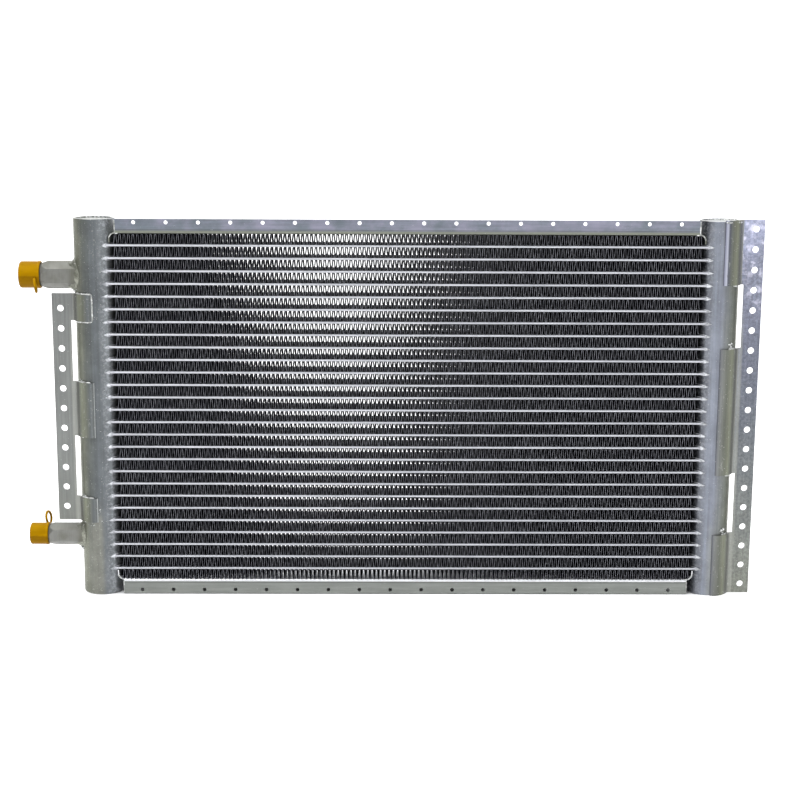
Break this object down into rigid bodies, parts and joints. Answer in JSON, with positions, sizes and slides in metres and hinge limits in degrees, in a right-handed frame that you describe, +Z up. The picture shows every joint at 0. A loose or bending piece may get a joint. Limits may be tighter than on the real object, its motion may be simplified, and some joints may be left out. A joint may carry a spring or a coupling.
{
  "type": "air-cooled hydraulic oil cooler",
  "caption": "Air-cooled aluminium oil cooler: flat tubes and corrugated fins between two round headers, perforated side brackets and two capped ports.",
  "frame": {"origin": "centre of the bracket bolt pattern on the front face of the mounting flanges, at the middle of the core in X and Z", "axes": "+X along the tubes to the right seen from the front, +Z up, the front faces -Y"},
  "size_m": [0.5823, 0.0362, 0.3027],
  "materials": {
    "header_aluminium": "satin as-brazed aluminium",
    "tube_aluminium": "bright extruded aluminium",
    "fin_aluminium": "thin rolled aluminium, dark between the fins",
    "plate_aluminium": "rolled sheet aluminium with light scuffs",
    "bracket_aluminium": "mill-finish sheet aluminium",
    "fitting_aluminium": "machined aluminium",
    "seal_rubber": "matt nitrile rubber",
    "cap_plastic": "soft glossy polyethylene"
  },
  "bodies": {
    "core": {"left_header": "header_aluminium", "right_header": "header_aluminium", "left_header_top_cap": "header_aluminium", "left_header_bottom_cap": "header_aluminium", "right_header_top_cap": "header_aluminium", "right_header_bottom_cap": "header_aluminium", "left_upper_baffle": "header_aluminium", "right_baffle": "header_aluminium", "left_lower_baffle": "header_aluminium", "tube_01": "tube_aluminium", "tube_02": "tube_aluminium", "tube_03": "tube_aluminium", "tube_04": "tube_aluminium", "tube_05": "tube_aluminium", "tube_06": "tube_aluminium", "tube_07": "tube_aluminium", "tube_08": "tube_aluminium", "tube_09": "tube_aluminium", "tube_10": "tube_aluminium", "tube_11": "tube_aluminium", "tube_12": "tube_aluminium", "tube_13": "tube_aluminium", "tube_14": "tube_aluminium", "tube_15": "tube_aluminium", "tube_16": "tube_aluminium", "tube_17": "tube_aluminium", "tube_18": "tube_aluminium", "tube_19": "tube_aluminium", "tube_20": "tube_aluminium", "tube_21": "tube_aluminium", "tube_22": "tube_aluminium", "tube_23": "tube_aluminium", "tube_24": "tube_aluminium", "tube_25": "tube_aluminium", "tube_26": "tube_aluminium", "tube_27": "tube_aluminium", "fins_pass_1": "fin_aluminium", "fins_pass_2": "fin_aluminium", "fins_pass_3": "fin_aluminium", "fins_pass_4": "fin_aluminium", "top_side_plate": "plate_aluminium", "bottom_side_plate": "plate_aluminium", "left_bracket": "bracket_aluminium", "right_bracket": "bracket_aluminium", "upper_port_fitting": "fitting_aluminium", "lower_port_fitting": "fitting_aluminium", "upper_o_ring": "seal_rubber", "lower_o_ring": "seal_rubber"},
    "upper_cap": {"upper_port_cap": "cap_plastic"},
    "lower_cap": {"lower_port_cap": "cap_plastic"}
  },
  "joints": [
    {"name": "upper_cap_pull", "type": "slide", "parent": "core", "child": "upper_cap", "axis": [-1, 0, 0], "range_m": [0, 0.06]},
    {"name": "lower_cap_pull", "type": "slide", "parent": "core", "child": "lower_cap", "axis": [-1, 0, 0], "range_m": [0, 0.06]}
  ]
}
